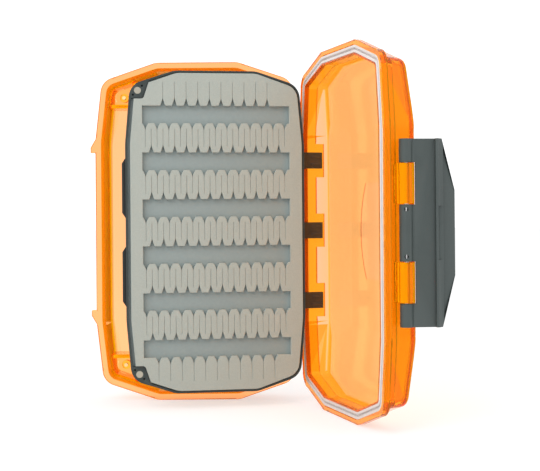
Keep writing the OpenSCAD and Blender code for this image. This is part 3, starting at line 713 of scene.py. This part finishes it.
def row_hole(row, chance):
    """Open row with its toothed edges. The sheet's outermost edges have two notches fewer, and
    upper edges have one fewer than lower ones."""
    middle = (row - (ROWS - 1) / 2) * ROW_PITCH + ROW_UP
    sides = {-1: (NOTCHES - (2 if row == 0 else 0), NOTCH_DOWN),
             1: (NOTCHES - (3 if row == ROWS - 1 else 1), NOTCH_UP)}
    loop = []
    spread = NOTCH_DEPTH_SPREAD
    for way in (-1, 1):
        count, (width, curve, depth) = sides[way]
        edge = middle + way * ROW_H / 2
        line = [Vector((ROW_LEFT_IN - ROW_L / 2, edge))]
        for k in range(count):
            x = (k - (count - 1) / 2) * NOTCH_PITCH
            deep = depth * chance.uniform(1 - spread, 1 + spread)
            line += notch(x, edge, way, width, curve, deep)
        line.append(Vector((ROW_L / 2, edge)))
        loop += line if way < 0 else reversed(line)
    return loop


def foam_sheet(node, outer, front_y, seed):
    """Slit foam: a filled curve with holes and softly rounded edges, made into a mesh."""
    chance = random.Random(seed)
    curve = bpy.data.curves.new(node + "_sheet", "CURVE")
    curve.dimensions = "2D"
    curve.fill_mode = "BOTH"
    curve.extrude = FOAM_T / 2 - FOAM_EDGE
    curve.bevel_depth = FOAM_EDGE
    curve.bevel_resolution = 2
    curve.offset = -FOAM_EDGE
    for loop in [outer] + [row_hole(row, chance) for row in range(ROWS)]:
        spline = curve.splines.new("POLY")
        spline.points.add(len(loop) - 1)
        for point, place in zip(spline.points, loop):
            point.co = (place.x, place.y, 0, 1)
        spline.use_cyclic_u = True
    drawn = bpy.data.objects.new(node + "_sheet", curve)
    mesh = bpy.data.meshes.new_from_object(drawn)
    bpy.data.objects.remove(drawn)
    upright = Matrix.Rotation(math.pi / 2, 4, "X")
    mesh.transform(ON_LEAF @ Matrix.Translation((0, front_y + FOAM_T / 2, 0)) @ upright)
    for face in mesh.polygons:
        face.use_smooth = True
    mesh.set_sharp_from_angle(angle=math.radians(FOAM_SHARP_DEG))
    piece = add_piece(node + "_sheet", mesh, node)


# The box

for name, cad in frame["nodes"].items():
    paint(cad.data, MATERIALS[SLOT_OF[name]])
shell_skin("base_shell", Matrix.Identity(4), 1, base_tint_and_glow)
shell_skin("lid_shell", turn_about(HINGE, -LID_OPEN), -1, lid_tint_and_glow)
soft_skin("latch", LATCH_EDGE)
# the frame's plastic paints shade deeper into its corners and gaps
soft_skin("leaf_frame", SMALL_EDGE, dark_plastic(
    "frame_plastic", FRAME_GREY, FRAME_WORN, shine=0.3, shade_span=(0.6, 1.0)))
soft_skin("lid_gasket", SMALL_EDGE)
# painted light: grey plastic coloured brown by the orange light around it
orange_lit_grey = dark_plastic("bracket_plastic", BRACKET_ORANGE_LIT, BRACKET_WORN_ORANGE_LIT)
for end in ("top", "middle", "bottom"):
    soft_skin("leaf_bracket_" + end, SMALL_EDGE, orange_lit_grey)
# the base magnets' steel carries painted orange light
for part, tone in (("leaf", LEAF_MAGNET), ("base", BASE_MAGNET)):
    metal = steel(part + "_magnet_steel", tone)
    for end in ("top", "bottom"):
        paint(frame["nodes"][part + "_magnet_" + end].data, metal)
foam_outer = without_tab(without_tab(leaf_outline(), 1), -1)
foam_sheet("leaf_foam_front", foam_outer, FOAM_FRONT_Y, seed=3)
foam_sheet("leaf_foam_back", without_hinge_bar(foam_outer), FOAM_BACK_Y, seed=4)


# Studio

def make_camera():
    """The fitted camera: its shift stands for a view centre off the middle of the photograph."""
    camera = bpy.data.cameras.new("camera")
    camera.sensor_width = SENSOR_MM
    camera.lens = FOCAL_PX / IMAGE_W * SENSOR_MM
    camera.shift_y = (VIEW_CENTRE_Y - IMAGE_H / 2) / IMAGE_W
    camera.clip_start = NEAR_CLIP
    holder = bpy.data.objects.new("camera", camera)
    level = Matrix.Rotation(math.pi / 2, 4, "X")
    roll = Matrix.Rotation(-math.radians(ROLL_DEG), 4, "Z")
    holder.matrix_world = Matrix.Translation(CAMERA_PLACE) @ level @ roll
    bpy.context.scene.collection.objects.link(holder)
    bpy.context.scene.camera = holder


def area_light(name, place, power):
    """A square lamp that faces the box."""
    lamp = bpy.data.lights.new(name, "AREA")
    lamp.shape = "RECTANGLE"
    lamp.size = lamp.size_y = LAMP_SIDE
    lamp.energy = power
    holder = bpy.data.objects.new(name, lamp)
    holder.location = Vector(place)
    facing = Vector(LAMP_TARGET) - Vector(place)
    holder.rotation_euler = facing.to_track_quat("-Z", "Y").to_euler()
    bpy.context.scene.collection.objects.link(holder)


def make_world():
    """Soft even light, seen as pure white by the camera and through clear or glossy plastic."""
    t = Tree("studio", bpy.data.worlds, "ShaderNodeOutputWorld")
    soft = t.shader("ShaderNodeBackground", Color=WHITE, Strength=WORLD_LIGHT)
    white = t.shader("ShaderNodeBackground", Color=WHITE, Strength=WORLD_SEEN)
    rays = t.add("ShaderNodeLightPath").outputs
    seen = t.highest(rays["Is Camera Ray"], rays["Is Glossy Ray"], rays["Is Transmission Ray"])
    bpy.context.scene.world = t.surface(t.shader_between(seen, soft, white))


def make_floor():
    """A matt floor that glows a little where it is looked at, and more through the plastic."""
    mesh = bpy.data.meshes.new("floor")
    corners = [(-1, -1), (1, -1), (1, 1), (-1, 1)]
    mesh.from_pydata([(x * FLOOR_REACH, y * FLOOR_REACH, -FLOOR_DROP) for x, y in corners],
                     [], [(0, 1, 2, 3)])
    floor = bpy.data.objects.new("floor", mesh)
    bpy.context.scene.collection.objects.link(floor)
    t = Tree("floor")
    rays = t.add("ShaderNodeLightPath").outputs
    through = t.highest(rays["Is Glossy Ray"], rays["Is Transmission Ray"])
    seen = t.highest(rays["Is Camera Ray"], through)
    plain = t.shader("ShaderNodeBsdfDiffuse", Color=FLOOR_WHITE)
    glow = t.shader("ShaderNodeEmission", Strength=t.remap(through, WHOLE, FLOOR_GLOW))
    share = t.remap(seen, WHOLE, (0, FLOOR_GLOW_SHARE))
    paint(floor.data, t.surface(t.shader_between(share, plain, glow)))


make_camera()
make_world()
make_floor()
area_light("key", KEY_PLACE, KEY_POWER)
area_light("fill", FILL_PLACE, FILL_POWER)

scene = bpy.context.scene
scene.view_settings.view_transform = "Standard"
scene.cycles.max_bounces = 64
scene.cycles.transmission_bounces = 64
scene.cycles.glossy_bounces = 32
scene.cycles.transparent_max_bounces = 24
